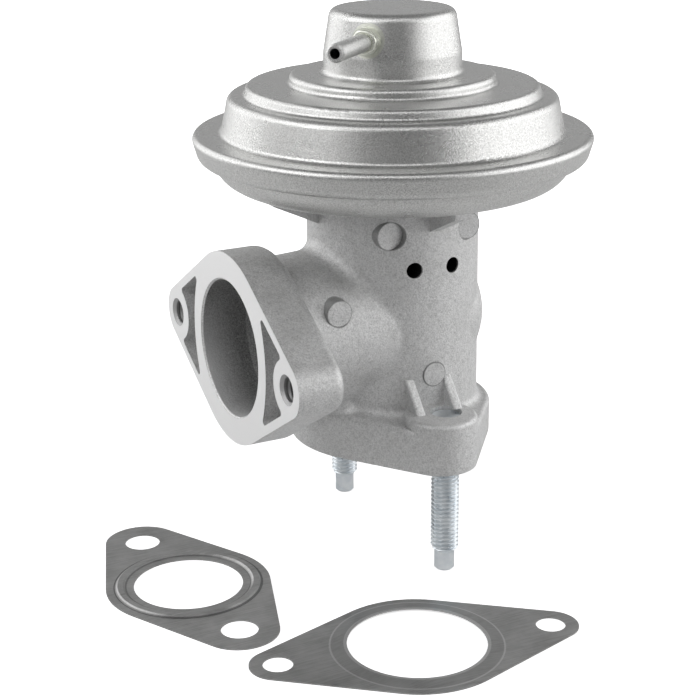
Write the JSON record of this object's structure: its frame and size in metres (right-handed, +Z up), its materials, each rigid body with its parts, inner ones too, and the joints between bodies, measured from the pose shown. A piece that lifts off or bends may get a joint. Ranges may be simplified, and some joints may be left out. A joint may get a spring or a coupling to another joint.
{
  "type": "egr valve",
  "caption": "Vacuum operated exhaust gas recirculation valve with a stepped diaphragm case, a cast elbow body on two base studs, and its loose inlet and outlet gaskets.",
  "frame": {"origin": "centre of the inlet port on the underside of the base flange", "axes": "+Z up along the valve stem, -X out of the outlet port, the two base studs on the Y axis"},
  "size_m": [0.1492, 0.1494, 0.1567],
  "materials": {
    "cast_aluminium": "fine grained casting with machined faces",
    "plated_case": "pressed steel with bright tin-like plating",
    "bright_zinc": "bright blue-white zinc",
    "valve_steel": "ground stainless steel",
    "spring_steel": "drawn wire",
    "guide_bronze": "sintered bronze",
    "diaphragm_rubber": "matt moulded rubber",
    "packing": "graphite packing",
    "insulator": "pressed fibre",
    "gasket_steel": "brushed stainless sheet"
  },
  "bodies": {
    "housing": {"valve_body": "cast_aluminium", "diaphragm_cover": "plated_case", "lower_case": "plated_case", "vacuum_nipple": "plated_case", "base_stud_front": "bright_zinc", "base_stud_rear": "bright_zinc", "case_screws": "bright_zinc", "clamp_ring": "plated_case", "case_gasket": "insulator", "valve_seat": "valve_steel", "diaphragm": "diaphragm_rubber", "return_spring": "spring_steel", "spring_seat": "plated_case", "guide_bush": "guide_bronze", "stem_seal": "packing", "seal_retainer": "plated_case"},
    "valve": {"valve_stem": "valve_steel", "poppet_valve": "valve_steel", "poppet_nut": "valve_steel", "stem_nut": "bright_zinc", "lock_washer": "bright_zinc", "diaphragm_plate": "plated_case", "diaphragm_piston": "plated_case"},
    "loose_inlet_gasket": {"inlet_gasket": "gasket_steel"},
    "loose_outlet_gasket": {"outlet_gasket": "gasket_steel"}
  },
  "joints": [
    {"name": "valve_lift", "type": "slide", "parent": "housing", "child": "valve", "axis": [0, 0, 1], "range_m": [0, 0.005], "stiffness_N_per_m": 3000, "springref_m": -0.02, "deforming": ["return_spring", "diaphragm"]},
    {"name": "inlet_gasket_lift", "type": "slide", "parent": "housing", "child": "loose_inlet_gasket", "axis": [0, 0, 1], "range_m": [0, 0.03]},
    {"name": "outlet_gasket_lift", "type": "slide", "parent": "housing", "child": "loose_outlet_gasket", "axis": [0, 0, 1], "range_m": [0, 0.03]}
  ]
}
